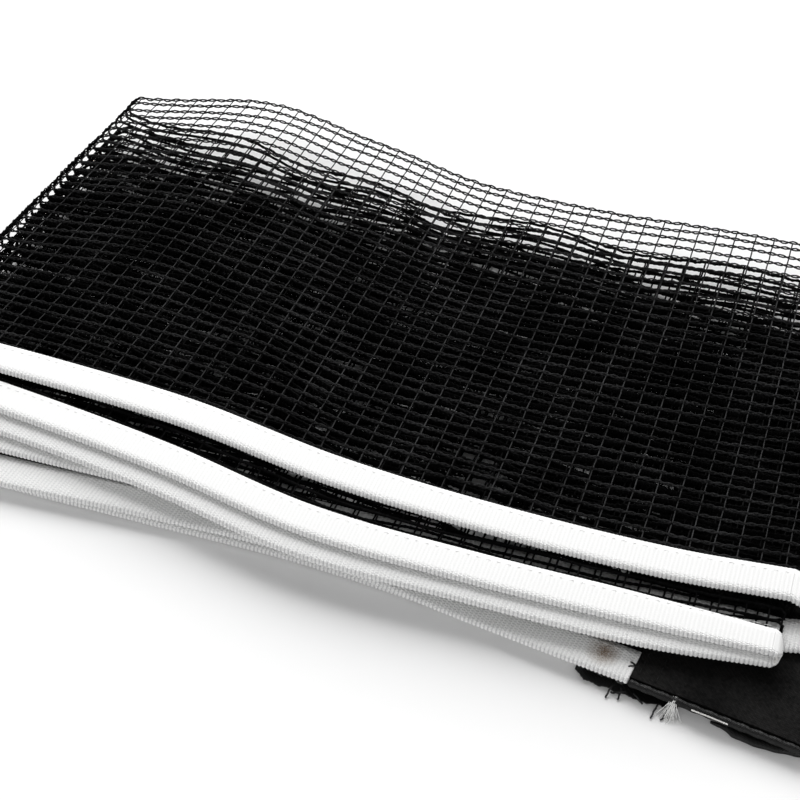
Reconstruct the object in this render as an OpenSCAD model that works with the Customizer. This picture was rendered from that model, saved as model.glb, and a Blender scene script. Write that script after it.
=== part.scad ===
// Table tennis net, taken off its posts and folded flat into six panels.
// The sheet is folded in half, and the doubled strip is folded in three.
// X runs along the pack, Y from the headband to the bottom edge of the net, Z up.

/* [Net sheet] */
// Height of the net, headband included
net_h = 152.5; // [150:0.5:156]
// Thickness of the netting over its yarns
netting_t = 1; // [0.6:0.1:1]
// Length of the folded pack over its outer folds
pack_l = 310; // [290:1:330]

/* [Headband] */
// Width of the ribbon that is folded over the top edge of the net
band_w = 11; // [10:0.5:15]
// Thickness of the folded ribbon with the tension cord in its nose
band_t = 2.4; // [2.2:0.1:2.6]
// Thickness of one ply of the ribbon
ribbon_t = 0.6; // [0.5:0.05:0.6]
// Diameter of the tension cord
cord_d = 1; // [0.8:0.1:1]

/* [Post sleeves] */
// Width of a sleeve along the net
sleeve_w = 52; // [45:1:53]
// Thickness of one ply of the sleeve cloth
sleeve_ply = 0.8; // [0.6:0.1:0.9]
// Depth of the seam that holds the end of the netting
seam_depth = 6; // [4:0.5:8]
// Distance of the lower sleeve behind the upper one
sleeve_step = 14; // [8:1:20]

/* [Open mesh] */
// Gaps along the top panel
gaps_long = 15; // [10:1:18]
// Gaps up the top panel
gaps_high = 11; // [8:1:13]
// Width of a strand of the top panel
strand_w = 2.4; // [1.5:0.1:3]
// Gaps along each panel below the top one
lower_gaps_long = 10; // [10:1:12]
// Gaps up each panel below the top one
lower_gaps_high = 4; // [4:1:6]
// Width of a strand below the top one, which leaves as much open as the real mesh has
lower_strand_w = 6.5; // [4:0.5:7]

/* [Folded stack] */
// Height of one level over the next at the headbands
band_pitch = 2.8; // [2.8:0.05:3.2]
// Height of one level over the next at the bottom edge of the net
edge_pitch = 1.3; // [1.3:0.05:1.6]
// Reach of the loose outer fold on the right past the inner one
outer_reach = 14; // [10:1:18]

/* [Hidden] */

band_color = [0.80, 0.80, 0.79];
netting_color = [0.07, 0.07, 0.08];
sleeve_color = [0.09, 0.08, 0.08];
piping_color = [0.13, 0.12, 0.12];
cord_color = [0.86, 0.85, 0.82];

// Levels of the stack, from the one that lies on the table, 0, to the top, 5.
// level_of[p] is the level of panel p + 1, counted along the sheet.
level_of = [0, 3, 4, 5, 2, 1];

// Resting line of each level's headband: its front Y at even stations from the left
// tip to the right tip, from the level on the table to the top one
front_line = [
    [-98.5, -97, -92.5, -88, -88, -90.5, -92.5],
    [-100.5, -99, -92.5, -87.5, -90.5, -93, -94.5],
    [-92, -88.5, -83.5, -79.5, -75, -70.5, -67.5],
    [-85.5, -84, -86.5, -92, -88.5, -83.5, -73.5],
    [-77.5, -78, -80.5, -86, -83.5, -78.5, -72.5],
    [-67, -64, -63, -67, -66, -61.5, -53]
];
// How much deeper the loose bottom edge of the top panel lies, at the same stations
top_slack = [-4, 10, 3, 0, 2.5, 6, 2.0];
// The cross threads lean along X with depth: the same at the left tip for every level,
// and at the right tip for each level its own
left_lean = 0.045;
right_lean = [0.069, 0.069, -0.11, -0.11, -0.11, -0.11];

near_y = -96;
far_y = 94;
fold_play = 0.2;
// Gap between an open panel and the closed fold next to it
mesh_play = 0.01;
left_tip = -160;
right_tip = left_tip + pack_l;
// Insets of the flat panels' ends: at the left folds, at the fold in the middle of
// the sheet, and the reach of the tight inner fold on the right
left_inset = 5.5;
middle_inset = 3;
right_reach = 3;
inner_tip_inset = 2.8;
left_crease = left_tip + left_inset;
right_crease = right_tip - right_reach - outer_reach;
// Level 2 clears the sleeves below it at the bottom edge of the net
edge_base = band_t / 2 + band_pitch + band_t / 2 + netting_t;
sleeve_x = [right_tip - sleeve_w - sleeve_step, right_tip - sleeve_w];
// How far a sleeve's body lies behind the front of the headband that it meets
sleeve_setback = 1.8;
sleeve_play = 0.1;
seam_play = 0.4;
tiny = 0.01;

// Start and end of the straight run of each panel along X
panel_x = [
    [left_crease + fold_play, sleeve_x[0]],
    [left_crease + fold_play, right_crease - fold_play],
    [left_tip + middle_inset, right_crease - fold_play],
    [left_tip + middle_inset, right_crease - fold_play],
    [left_crease + fold_play, right_crease - fold_play],
    [left_crease + fold_play, sleeve_x[1]]
];

// Folds: lower level, upper level, side (-1 left, 1 right) and tip of the outer face
folds = [
    [0, 3, -1, left_tip],
    [3, 4, 1, right_crease + right_reach],
    [4, 5, -1, left_tip],
    [2, 5, 1, right_tip],
    [1, 2, -1, left_tip + inner_tip_inset]
];
fold_start = [
    left_crease + fold_play, right_crease - fold_play, left_tip + middle_inset,
    right_crease - fold_play, left_crease + fold_play
];

run_steps = 14;
fold_steps = 12;
nose_steps = 5;

function mix(a, b, w) = a + (b - a) * w;

// Height of the middle of a level's cloth at a given Y
function near_z(level) = band_t / 2 + level * band_pitch;
function edge_z(level) = level < 2 ? near_z(level) : edge_base + (level - 2) * edge_pitch;
function level_z(level, y) = mix(near_z(level), edge_z(level), (y - near_y) / (far_y - near_y));

// Smooth value at X from a list of values at even stations between the tips
function along_pack(values, x) =
    let (
        last = len(values) - 1,
        t = min(max((x - left_tip) / (right_tip - left_tip), 0), 1) * last,
        i = min(floor(t), last - 1), w = t - i,
        a = values[max(i - 1, 0)], b = values[i], c = values[i + 1], d = values[min(i + 2, last)]
    )
    b + w / 2 * (c - a + w * (2 * a - 5 * b + 4 * c - d + w * (3 * (b - c) + d - a)));
function front_y(level, x) = along_pack(front_line[level], x);
function slack(level, x) = level == 5 ? along_pack(top_slack, x) : 0;
function lean(level, x) =
    mix(left_lean, right_lean[level], (x - left_tip) / (right_tip - left_tip));

// A station of the sheet holds its X, its lower and upper level, how far it has turned
// from one to the other, its outward direction, its headband's front Y, and its slack
// and lean.
function run_station(level, x) =
    [x, level, level, 0, 0, 1, front_y(level, x), slack(level, x), lean(level, x)];
function fold_station(k, turn) =
    let (
        lower = folds[k][0], upper = folds[k][1], side = folds[k][2],
        start = fold_start[k],
        reach = abs(folds[k][3] - side * band_t / 2 - start),
        rise = (near_z(upper) - near_z(lower)) / 2,
        nx = side * rise * sin(turn), nz = -reach * cos(turn), size = norm([nx, nz]),
        turned = (1 - cos(turn)) / 2, share = turn / 180
    )
    [start + side * reach * sin(turn), lower, upper, turned, nx / size, nz / size,
     mix(front_y(lower, start), front_y(upper, start), share),
     mix(slack(lower, start), slack(upper, start), share),
     mix(lean(lower, start), lean(upper, start), share)];

// Point of a station at distance d behind the headband's front and n off the cloth
function sheet_point(s, d, n) =
    let (y = s[6] + d + s[7] * max(0, (d - band_w) / (net_h - band_w)))
    [s[0] + s[8] * (y - s[6]) + n * s[4], y, mix(level_z(s[1], y), level_z(s[2], y), s[3]) + n * s[5]];

// Stations of one panel, of one fold
function run_stations(p) =
    [for (i = [0:run_steps])
        run_station(level_of[p], mix(panel_x[p][0], panel_x[p][1], i / run_steps))];
function fold_stations(k) = [for (i = [0:fold_steps]) fold_station(k, 180 * i / fold_steps)];

// Solid through a list of rings with the same even number of points. The second half
// of a ring runs back beside the first, so each end closes as a strip between them.
module loft(rings) {
    count = len(rings[0]);
    end = (len(rings) - 1) * count;
    sides = [for (i = [0:len(rings) - 2], j = [0:count - 1])
        let (a = i * count + j, b = i * count + (j + 1) % count)
        each [[a, b, b + count], [a, b + count, a + count]]];
    caps = [for (j = [0:count / 2 - 2])
        let (a = j, b = j + 1, c = count - 2 - j, d = count - 1 - j)
        each [[d, c, b], [d, b, a], [end + a, end + b, end + c], [end + a, end + c, end + d]]];
    polyhedron([for (r = rings) each r], concat(sides, caps), convexity = 6);
}

// Section of the folded ribbon: a U with a round nose, open behind for the netting
function nose(r, from, to) =
    [for (i = [0:nose_steps])
        let (t = mix(from, to, i / nose_steps)) [band_t / 2 + r * cos(t), r * sin(t)]];
function band_section() =
    let (r = band_t / 2, slot = band_t / 2 - ribbon_t)
    concat([[band_w, -r]], nose(r, 270, 90), [[band_w, r], [band_w, slot]],
           nose(slot, 90, 270), [[band_w, -slot]]);
// Section of the netting, in stretches from inside the ribbon to the bottom edge
function netting_section(depth) =
    let (stops = [for (i = [0:4]) mix(band_t / 2 + cord_d, depth, i / 4)])
    concat([for (d = stops) [d, netting_t / 2]],
           [for (i = [4:-1:0]) [stops[i], -netting_t / 2]]);
function cord_section() =
    [for (i = [0:5]) [band_t / 2 + cord_d / 2 * cos(60 * i), -cord_d / 2 * sin(60 * i)]];

function placed(station, section) = [for (q = section) sheet_point(station, q[0], q[1])];
// A fold on the right is lofted from its upper level down, so that its faces look outward
function fold_order(k, stations) =
    folds[k][2] < 0 ? stations : [for (i = [len(stations) - 1:-1:0]) stations[i]];
function fold_rings(k, section) =
    [for (s = fold_order(k, fold_stations(k))) placed(s, section)];

module headband_run(p) {
    color(band_color) loft([for (s = run_stations(p)) placed(s, band_section())]);
}
module cord_run(p) {
    color(cord_color) loft([for (s = run_stations(p)) placed(s, cord_section())]);
}
module netting_bend(k) {
    color(netting_color)
        loft(fold_rings(k, netting_section(net_h)));
}
module headband_bend(k) {
    color(band_color) loft(fold_rings(k, band_section()));
}
module cord_bend(k) {
    color(cord_color) loft(fold_rings(k, cord_section()));
}

// A panel of netting as an open mesh: strands along the panel and across it. The last
// strand of an end panel enters its sleeve's seam by the given reach.
module netting_mesh(p, long, high, width, reach = 0) {
    level = level_of[p];
    inner = band_t / 2 + cord_d;
    first = panel_x[p][0] + mesh_play;
    last = panel_x[p][1] + (reach > 0 ? reach : -mesh_play);
    function grid_x(i) = mix(first, last, i / long);
    // Both edges of strand i along X and of strand j along the depth, kept inside the sheet
    function edges_x(i) =
        i == 0 ? [grid_x(0), grid_x(0) + width]
        : i == long ? [grid_x(i) - width - reach, grid_x(i)]
        : [grid_x(i) - width / 2, grid_x(i) + width / 2];
    function share(j) = j == 0 ? 0 : mix(band_w / net_h, 1, j / high);
    function depth(j) = mix(inner, net_h, share(j));
    function edges_d(j) =
        j == 0 ? [inner, band_w + width / 2]
        : j == high ? [depth(j) - width, depth(j)]
        : [depth(j) - width / 2, depth(j) + width / 2];
    cols = [for (i = [0:long]) each edges_x(i)];
    nx = len(cols);
    nd = 2 * (high + 1);
    function vertex(a, b, n) =
        sheet_point(run_station(level, cols[a]), edges_d(floor(b / 2))[b % 2], n);
    points = [for (n = [-netting_t / 2, netting_t / 2], a = [0:nx - 1], b = [0:nd - 1]) vertex(a, b, n)];
    function id(n, a, b) = (n * nx + a) * nd + b;
    function solid(a, b) =
        a >= 0 && b >= 0 && a < nx - 1 && b < nd - 1 && (a % 2 == 0 || b % 2 == 0);
    cells = [for (a = [0:nx - 2], b = [0:nd - 2]) if (solid(a, b)) [a, b]];
    top = [for (c = cells) let (a = c[0], b = c[1])
        each [[id(1, a, b), id(1, a, b + 1), id(1, a + 1, b + 1)],
              [id(1, a, b), id(1, a + 1, b + 1), id(1, a + 1, b)]]];
    bottom = [for (c = cells) let (a = c[0], b = c[1])
        each [[id(0, a, b), id(0, a + 1, b + 1), id(0, a, b + 1)],
              [id(0, a, b), id(0, a + 1, b), id(0, a + 1, b + 1)]]];
    // A wall stands on each side of a cell that has no neighbour
    function wall(a0, b0, a1, b1) =
        [[id(0, a0, b0), id(1, a1, b1), id(1, a0, b0)], [id(0, a0, b0), id(0, a1, b1), id(1, a1, b1)]];
    walls = [for (c = cells) let (a = c[0], b = c[1]) each concat(
        solid(a - 1, b) ? [] : wall(a, b, a, b + 1),
        solid(a + 1, b) ? [] : wall(a + 1, b + 1, a + 1, b),
        solid(a, b - 1) ? [] : wall(a + 1, b, a, b),
        solid(a, b + 1) ? [] : wall(a, b + 1, a + 1, b + 1))];
    color(netting_color) polyhedron(points, concat(top, bottom, walls), convexity = 20);
}
module lower_mesh(p, reach = 0) {
    netting_mesh(p, lower_gaps_long, lower_gaps_high, lower_strand_w, reach);
}

// Sleeve k lies on level k and leans with the netting that it ends
module sleeve_place(k) {
    slope = lean(k, sleeve_x[k]);
    translate([sleeve_x[k] + sleeve_play + slope * sleeve_setback,
               front_y(k, sleeve_x[k]) + sleeve_setback, near_z(k)])
        rotate([0, 0, -atan(slope)]) children();
}

// Sleeve of woven cloth, pressed flat: a seam that grips the netting, then the
// pocket for the post, open at the bottom edge of the net
module post_sleeve(k) {
    depth = net_h - 1;
    seam_wall = 1.6;
    slot = seam_depth + seam_play;
    color(sleeve_color)
        sleeve_place(k)
            translate([0, depth, 0]) rotate([90, 0, 0])
                linear_extrude(depth)
                    difference() {
                        union() {
                            translate([0, -band_t / 2])
                                square([sleeve_w - band_t / 2, band_t]);
                            translate([sleeve_w - band_t / 2, 0])
                                circle(d = band_t, $fn = 32);
                        }
                        translate([-tiny, -band_t / 2 + sleeve_ply - seam_play / 2])
                            square([slot + tiny, band_t - 2 * sleeve_ply + seam_play]);
                        translate([slot + seam_wall, -band_t / 2 + sleeve_ply])
                            square([sleeve_w - slot - 2 * seam_wall, band_t - 2 * sleeve_ply]);
                    }
}

// Rolled hem along the top edge of a sleeve
module sleeve_piping(k) {
    color(piping_color)
        sleeve_place(k)
            translate([0, -band_t / 2, 0]) rotate([0, 90, 0])
                cylinder(d = band_t, h = sleeve_w, $fn = 32);
}

lower_mesh(0, seam_depth);  // netting_panel_1
lower_mesh(1);  // netting_panel_2
lower_mesh(2);  // netting_panel_3
netting_mesh(3, gaps_long, gaps_high, strand_w);  // netting_panel_4
lower_mesh(4);  // netting_panel_5
lower_mesh(5, seam_depth);  // netting_panel_6
netting_bend(0);  // netting_fold_1
netting_bend(1);  // netting_fold_2
netting_bend(2);  // netting_fold_3
netting_bend(3);  // netting_fold_4
netting_bend(4);  // netting_fold_5
headband_run(0);  // headband_panel_1
headband_run(1);  // headband_panel_2
headband_run(2);  // headband_panel_3
headband_run(3);  // headband_panel_4
headband_run(4);  // headband_panel_5
headband_run(5);  // headband_panel_6
headband_bend(0);  // headband_fold_1
headband_bend(1);  // headband_fold_2
headband_bend(2);  // headband_fold_3
headband_bend(3);  // headband_fold_4
headband_bend(4);  // headband_fold_5
cord_run(0);  // tension_cord_1
cord_run(1);  // tension_cord_2
cord_run(2);  // tension_cord_3
cord_run(3);  // tension_cord_4
cord_run(4);  // tension_cord_5
cord_run(5);  // tension_cord_6
cord_bend(0);  // cord_fold_1
cord_bend(1);  // cord_fold_2
cord_bend(2);  // cord_fold_3
cord_bend(3);  // cord_fold_4
cord_bend(4);  // cord_fold_5
post_sleeve(0);  // post_sleeve_1
post_sleeve(1);  // post_sleeve_2
sleeve_piping(0);  // sleeve_piping_1
sleeve_piping(1);  // sleeve_piping_2
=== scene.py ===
# %% [markdown]
# A table tennis net, taken off its posts and folded flat: one long strip of black
# knotless netting with a white ribbed headband along its top edge, a thin cord inside
# the headband, and a black woven sleeve at each end. The strip lies in six panels,
# joined by five folds.

# %% Load the frame
import math
from functools import partial

import bmesh
import bpy
import numpy as np
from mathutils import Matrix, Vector
from mathutils.geometry import tessellate_polygon


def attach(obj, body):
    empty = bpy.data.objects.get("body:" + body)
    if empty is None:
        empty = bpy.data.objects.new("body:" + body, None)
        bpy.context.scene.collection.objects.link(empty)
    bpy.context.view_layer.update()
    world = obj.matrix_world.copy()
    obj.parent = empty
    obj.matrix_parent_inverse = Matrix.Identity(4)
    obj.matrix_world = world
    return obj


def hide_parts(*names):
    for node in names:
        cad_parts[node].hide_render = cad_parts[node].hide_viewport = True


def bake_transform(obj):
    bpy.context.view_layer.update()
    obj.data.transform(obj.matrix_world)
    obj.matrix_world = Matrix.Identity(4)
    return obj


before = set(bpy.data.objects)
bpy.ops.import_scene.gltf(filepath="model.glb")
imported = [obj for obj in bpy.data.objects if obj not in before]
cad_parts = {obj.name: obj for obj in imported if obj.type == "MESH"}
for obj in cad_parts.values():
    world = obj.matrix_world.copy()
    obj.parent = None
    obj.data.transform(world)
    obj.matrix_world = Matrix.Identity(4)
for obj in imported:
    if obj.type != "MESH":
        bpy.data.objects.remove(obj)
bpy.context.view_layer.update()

MM = 0.001

# %% [markdown]
# The camera comes early, because every other choice is judged through it. A long lens
# from a little over half a metre shows the pack from its headband side, with hardly any
# distortion. We aim the camera by turning its -Z axis along the line of sight, which
# is safer than typing three angles.

# %% Camera
camera_place = Vector((0.1523, -0.3827, 0.4198))
camera_target = Vector((-0.0039, -0.0138, 0.0))
camera_data = bpy.data.cameras.new("camera")
camera_data.lens = 81.0
camera_data.sensor_width = 36.0
camera_data.clip_start, camera_data.clip_end = 0.02, 20.0
camera = bpy.data.objects.new("camera", camera_data)
bpy.context.collection.objects.link(camera)
camera.location = camera_place
camera.rotation_mode = "QUATERNION"
camera.rotation_quaternion = (camera_target - camera_place).to_track_quat("-Z", "Y")
bpy.context.scene.camera = camera
print("camera at", [round(v, 3) for v in camera_place], "lens", camera_data.lens)

# %% [markdown]
# The pack lies on a plain white surface in soft studio light. One large lamp overhead
# and behind does most of the work: it gives the tapes a bright top and lays a soft
# shadow in front of the pack. A dim lamp low in front and an evenly lit world open up
# the tapes' faces. The floor is a plain matt plane. A little emission that only camera
# rays see lifts it around the pack to a clean white, and adds no light to the net.
# Lamps and world together light a level surface at about the strength that shows a
# colour as it is written, and the Standard view then leaves those colours alone. The
# cell begins with the short helpers that make every node tree in this file: add_node
# makes a node, and fill gives inputs a plain value or a link, whichever it is handed.

# %% Floor and light
def fill(tree, node, *values, **named):
    """Give a node's inputs, in order or by name, a value or another node's output."""
    for key, value in [*enumerate(values), *named.items()]:
        target = node.inputs[key.replace("_", " ") if isinstance(key, str) else key]
        if isinstance(value, bpy.types.NodeSocket):
            tree.links.new(value, target)
        elif value is not None:
            target.default_value = value
    return node


def add_node(tree, kind, *values, **named):
    """A new node: names in small letters are its settings, and the others its inputs."""
    node = tree.nodes.new(kind)
    for name in filter(str.islower, named):
        setattr(node, name, named[name])
    return fill(tree, node, *values, **{k: v for k, v in named.items() if not k.islower()})


def maths_node(tree, op, a, b=None):
    return add_node(tree, "ShaderNodeMath", a, b, operation=op).outputs[0]


def vector_node(tree, op, *values, **named):
    node = add_node(tree, "ShaderNodeVectorMath", *values, operation=op, **named)
    return node.outputs["Value" if op in ("LENGTH", "DISTANCE") else "Vector"]


def ramp_node(tree, value, start, end, low, high):
    """A value between start and end, drawn out to lie between low and high."""
    return add_node(tree, "ShaderNodeMapRange", Value=value, From_Min=start, From_Max=end,
                    To_Min=low, To_Max=high).outputs[0]


def shade(mat, **inputs):
    return fill(mat.node_tree, mat.node_tree.nodes["Principled BSDF"], **inputs)


def plain_material(name, colour, rough, **inputs):
    """A one-colour finish, the start of every material here."""
    mat = bpy.data.materials.new(name)
    mat.use_nodes = True
    shade(mat, Base_Color=(*colour, 1), Roughness=rough, **inputs)
    return mat


floor_half, floor_z = 3.0, -0.0002
clean_from = (0.185, 0.115, 1.0)
floor_mesh = bpy.data.meshes.new("floor")
floor_mesh.from_pydata([(x * floor_half, y * floor_half, floor_z)
                        for x, y in ((-1, -1), (1, -1), (1, 1), (-1, 1))], [], [(0, 1, 2, 3)])
floor = bpy.data.objects.new("floor", floor_mesh)
bpy.context.collection.objects.link(floor)
white_floor = plain_material("white_floor", (0.96, 0.96, 0.96), 0.9)
floor_tree = white_floor.node_tree
seen = add_node(floor_tree, "ShaderNodeLightPath").outputs["Is Camera Ray"]
place = add_node(floor_tree, "ShaderNodeTexCoord").outputs["Object"]
reach = vector_node(floor_tree, "LENGTH", vector_node(floor_tree, "DIVIDE", place, clean_from))
outside, distant = (ramp_node(floor_tree, reach, start, end, 0.0, most)
                    for start, end, most in ((0.9, 1.35, 0.12), (6.0, 10.0, 0.7)))
lift = maths_node(floor_tree, "MULTIPLY", maths_node(floor_tree, "ADD", outside, distant), seen)
shade(white_floor, Emission_Color=(1, 1, 1, 1), Emission_Strength=lift)
floor.data.materials.append(white_floor)

world = bpy.data.worlds.new("studio")
bpy.context.scene.world = world
world.use_nodes = True
seen = add_node(world.node_tree, "ShaderNodeLightPath").outputs["Is Camera Ray"]
strength = ramp_node(world.node_tree, seen, 0.0, 1.0, 0.26, 1.0)
fill(world.node_tree, world.node_tree.nodes["Background"], Color=(1, 1, 1, 1), Strength=strength)


def soft_lamp(name, place, target, size, power):
    """A square area lamp that faces a target."""
    data = bpy.data.lights.new(name, "AREA")
    data.shape, data.size, data.energy = "SQUARE", size, power
    lamp = bpy.data.objects.new(name, data)
    bpy.context.collection.objects.link(lamp)
    lamp.location = place
    lamp.rotation_euler = (Vector(target) - Vector(place)).to_track_quat("-Z", "Y").to_euler()
    return lamp


soft_lamp("overhead_lamp", (-0.46, 1.06, 1.0), (0, 0, 0), 1.4, 33.5)
soft_lamp("low_front_fill", (0.35, -1.2, 0.38), (0, 0, 0), 1.0, 5.0)
bpy.context.scene.view_settings.view_transform = "Standard"

# %% [markdown]
# All the cloth in the pack follows one rule, so we write that rule down once. A station
# is a place along the strip: its X, the levels of the stack that it turns between, how
# far it has turned, the direction out of the cloth, the Y of the headband's front, how
# much longer the netting is there, and how far its cross threads lean. A point of the
# cloth is then a station, a depth behind the headband's front and a height off the
# cloth. These are the same rules as the solid model's, so each piece lies on its node.

# %% Where the folded strip lies
net_height = 152.5
band_width = 11.0
band_thick = 2.4
band_pitch = 2.8
edge_pitch = 1.3
netting_thick = 1.0
left_tip, right_tip = -160.0, 150.0
fold_play = 0.2
bend_deep, hairpin_deep, wrap_deep = 5.5, 3.0, 14.0
left_end = left_tip + bend_deep + fold_play
right_end = right_tip - hairpin_deep - wrap_deep - fold_play
near_y, far_y = -96.0, 94.0
edge_base = band_thick + band_pitch + netting_thick
sleeve_width = 52.0
sleeve_left = [right_tip - sleeve_width - wrap_deep, right_tip - sleeve_width]
sleeve_setback = 1.8

# Levels count upwards from the one on the table, 0. Panel p + 1 lies on LEVEL_OF[p].
LEVEL_OF = [0, 3, 4, 5, 2, 1]
FRONT_LINE = np.array([[-98.5, -97, -92.5, -88, -88, -90.5, -92.5],
                       [-100.5, -99, -92.5, -87.5, -90.5, -93, -94.5],
                       [-92, -88.5, -83.5, -79.5, -75, -70.5, -67.5],
                       [-85.5, -84, -86.5, -92, -88.5, -83.5, -73.5],
                       [-77.5, -78, -80.5, -86, -83.5, -78.5, -72.5],
                       [-67, -64, -63, -67, -66, -61.5, -53]])
TOP_SLACK = np.array([-4, 10, 3, 0, 2.5, 6, 2.0])
left_lean = 0.045
RIGHT_LEAN = [0.069, 0.069, -0.11, -0.11, -0.11, -0.11]

mid_start = left_tip + 3
panel_span = [(sleeve_left[0], left_end), (left_end, right_end), (right_end, mid_start),
              (mid_start, right_end), (right_end, left_end), (left_end, sleeve_left[1])]
# Each fold: lower level, upper level, side, tip, start, and whether the strip climbs it
FOLDS = [(0, 3, -1, left_tip, left_end, True),
         (3, 4, 1, right_end + fold_play + hairpin_deep, right_end, True),
         (4, 5, -1, left_tip, mid_start, True), (2, 5, 1, right_tip, right_end, False),
         (1, 2, -1, left_tip + 2.8, left_end, False)]
# What a station holds, in this order
AT_X, LOW, UP, TURNED, OUT_X, OUT_Z, FRONT, SLACK, LEAN = range(9)
# One full turn in radians, for the waves in the cloth
TURN = 6.283


def along_pack(values, x):
    """A smooth value at X from a list of values at even stations between the tips."""
    last = len(values) - 1
    t = np.clip((np.asarray(x, float) - left_tip) / (right_tip - left_tip), 0, 1) * last
    i = np.minimum(np.floor(t), last - 1).astype(int)
    w = t - i
    a, b, c, d = (values[np.clip(i + k, 0, last)] for k in (-1, 0, 1, 2))
    return b + w / 2 * (c - a + w * (2 * a - 5 * b + 4 * c - d + w * (3 * (b - c) + d - a)))


def near_height(level):
    """Height of a level's middle at the headband; far_height is that at the free edge."""
    return band_thick / 2 + band_pitch * np.asarray(level, float)


def far_height(level):
    level = np.asarray(level, float)
    return np.where(level < 2, near_height(level), edge_base + (level - 2) * edge_pitch)


def level_height(level, y):
    share = (y - near_y) / (far_y - near_y)
    return near_height(level) * (1 - share) + far_height(level) * share


def front_line(level, x):
    return along_pack(FRONT_LINE[level], x)


def slack(level, x):
    return along_pack(TOP_SLACK, x) if level == 5 else 0.0 * np.asarray(x, float)


def lean(level, x):
    share = (np.asarray(x, float) - left_tip) / (right_tip - left_tip)
    return left_lean * (1 - share) + RIGHT_LEAN[level] * share


def run_stations(panel, xs):
    level = LEVEL_OF[panel]
    one = np.ones_like(xs)
    return np.stack([xs, level * one, level * one, 0 * one, 0 * one, one,
                     front_line(level, xs), slack(level, xs), lean(level, xs)], axis=-1)


def fold_stations(k, turns):
    low, up, side, tip, start, climbs = FOLDS[k]
    reach = abs(tip - side * band_thick / 2 - start)
    rise = (near_height(up) - near_height(low)) / 2
    turn = np.radians(turns if climbs else 180 - turns)
    nx, nz = side * rise * np.sin(turn), -reach * np.cos(turn)
    size = np.hypot(nx, nz)
    one = np.ones_like(turn)
    turned, share = (1 - np.cos(turn)) / 2, turn / math.pi
    between = [rule(low, start) * (1 - share) + rule(up, start) * share
               for rule in (front_line, slack, lean)]
    return np.stack([start + side * reach * np.sin(turn), low * one, up * one, turned,
                     nx / size, nz / size, *between], axis=-1)


# Handled netting never lies quite straight: each level is stretched a little its own way,
# and the free top one least
handling = np.random.default_rng(11)
RIPPLES = [[(handling.uniform(55, 150), handling.uniform(45, 110), handling.uniform(0, 6.3),
             handling.uniform(0.7, 1.2)) for _ in range(3)] for _ in range(6)]


def ripple(level, x, depth):
    """How far a level's netting is pushed along Y at a place, in millimetres."""
    level = np.broadcast_to(np.asarray(level, int), np.broadcast(x, depth).shape)
    total = np.zeros(level.shape)
    for k in range(6):
        here = sum(size * np.sin(TURN * (x / long + depth / deep) + phase)
                   for long, deep, phase, size in RIPPLES[k])
        total = total + np.where(level == k, here * (0.25 if k == 5 else 1.0), 0.0)
    return total * np.clip((depth - band_width) / 25, 0, 1)


def cloth_points(stations, depth, lift=0.0):
    """Points in metres for one depth and lift at each station, or for several."""
    s = np.asarray(stations, float)
    at, low, up, turned, front = (s[..., k] for k in (AT_X, LOW, UP, TURNED, FRONT))
    d = np.asarray(depth, float) + 0 * at
    y = front + d + s[..., SLACK] * np.clip((d - band_width) / (net_height - band_width), 0, None)
    y = y + ripple(low, at, d) * (1 - turned) + ripple(up, at, d) * turned
    z = level_height(low, y) * (1 - turned) + level_height(up, y) * turned
    x = at + s[..., LEAN] * (y - front) + lift * s[..., OUT_X]
    return np.stack([x, y, z + lift * s[..., OUT_Z]], axis=-1) * MM


def run_along(stations):
    """Distance travelled along the headband's front at each station, in millimetres."""
    p = cloth_points(stations, 0.0) / MM
    return np.concatenate([[0], np.cumsum(np.hypot(np.diff(p[:, 0]), np.diff(p[:, 2])))])


# The parts of the strip in order: the kind and number of each, its start and its length
PARTS = []
strip_length = 0.0
for i in range(6):
    lengths = [("panel", abs(panel_span[i][1] - panel_span[i][0]))]
    if i < len(FOLDS):
        lengths.append(("fold", float(run_along(fold_stations(i, np.linspace(0, 180, 181)))[-1])))
    for kind, length in lengths:
        PARTS.append({"kind": kind, "index": i, "start": strip_length, "length": length})
        strip_length += length


def stations_of(part, along):
    """Stations of one part at distances along it, in millimetres from its start."""
    share = np.asarray(along, float) / part["length"]
    if part["kind"] == "panel":
        start, end = panel_span[part["index"]]
        return run_stations(part["index"], start + (end - start) * share)
    fine = np.linspace(0, 180, 361)
    run = run_along(fold_stations(part["index"], fine))
    return fold_stations(part["index"], np.interp(share * run[-1], run, fine))


print("strip", round(strip_length, 1), "mm long in", len(PARTS), "parts")

# %% [markdown]
# Every piece then needs a few lines of housekeeping: link the mesh, hide the solid that
# it stands for, and fasten it to the leaf that it moves with. A piece on a fold that
# crosses a hinge is fastened to no leaf, and stays where it was built. Ribbon, sleeves
# and hems are rings of points in a row, so one helper skins them all.

# %% Helpers that fasten pieces to the frame
LEAF_OF_PANEL = ["bottom_leaf", "middle_leaf", "top_leaf", "top_leaf", "middle_leaf",
                 "bottom_leaf"]
FOLD_BETWEEN = {0: ("bottom_leaf", "middle_leaf"), 1: ("middle_leaf", "top_leaf"),
                3: ("middle_leaf", "top_leaf"), 4: ("bottom_leaf", "middle_leaf")}


def new_piece(name, points, edges=(), faces=(), smooth=True):
    mesh = bpy.data.meshes.new(name)
    mesh.from_pydata([tuple(p) for p in points], list(edges), list(faces))
    mesh.polygons.foreach_set("use_smooth", [smooth] * len(mesh.polygons))
    piece = bpy.data.objects.new(name, mesh)
    bpy.context.collection.objects.link(piece)
    return piece


def fasten(piece, part, *nodes):
    """Hide the solids that the piece stands for, and let it move with its leaf; a fold across a
    hinge gets none.
    """
    if nodes:
        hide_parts(*nodes)
    k = part["index"]
    if part["kind"] == "panel":
        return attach(piece, LEAF_OF_PANEL[k])
    if k not in FOLD_BETWEEN:
        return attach(piece, "top_leaf")
    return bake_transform(piece)


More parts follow.
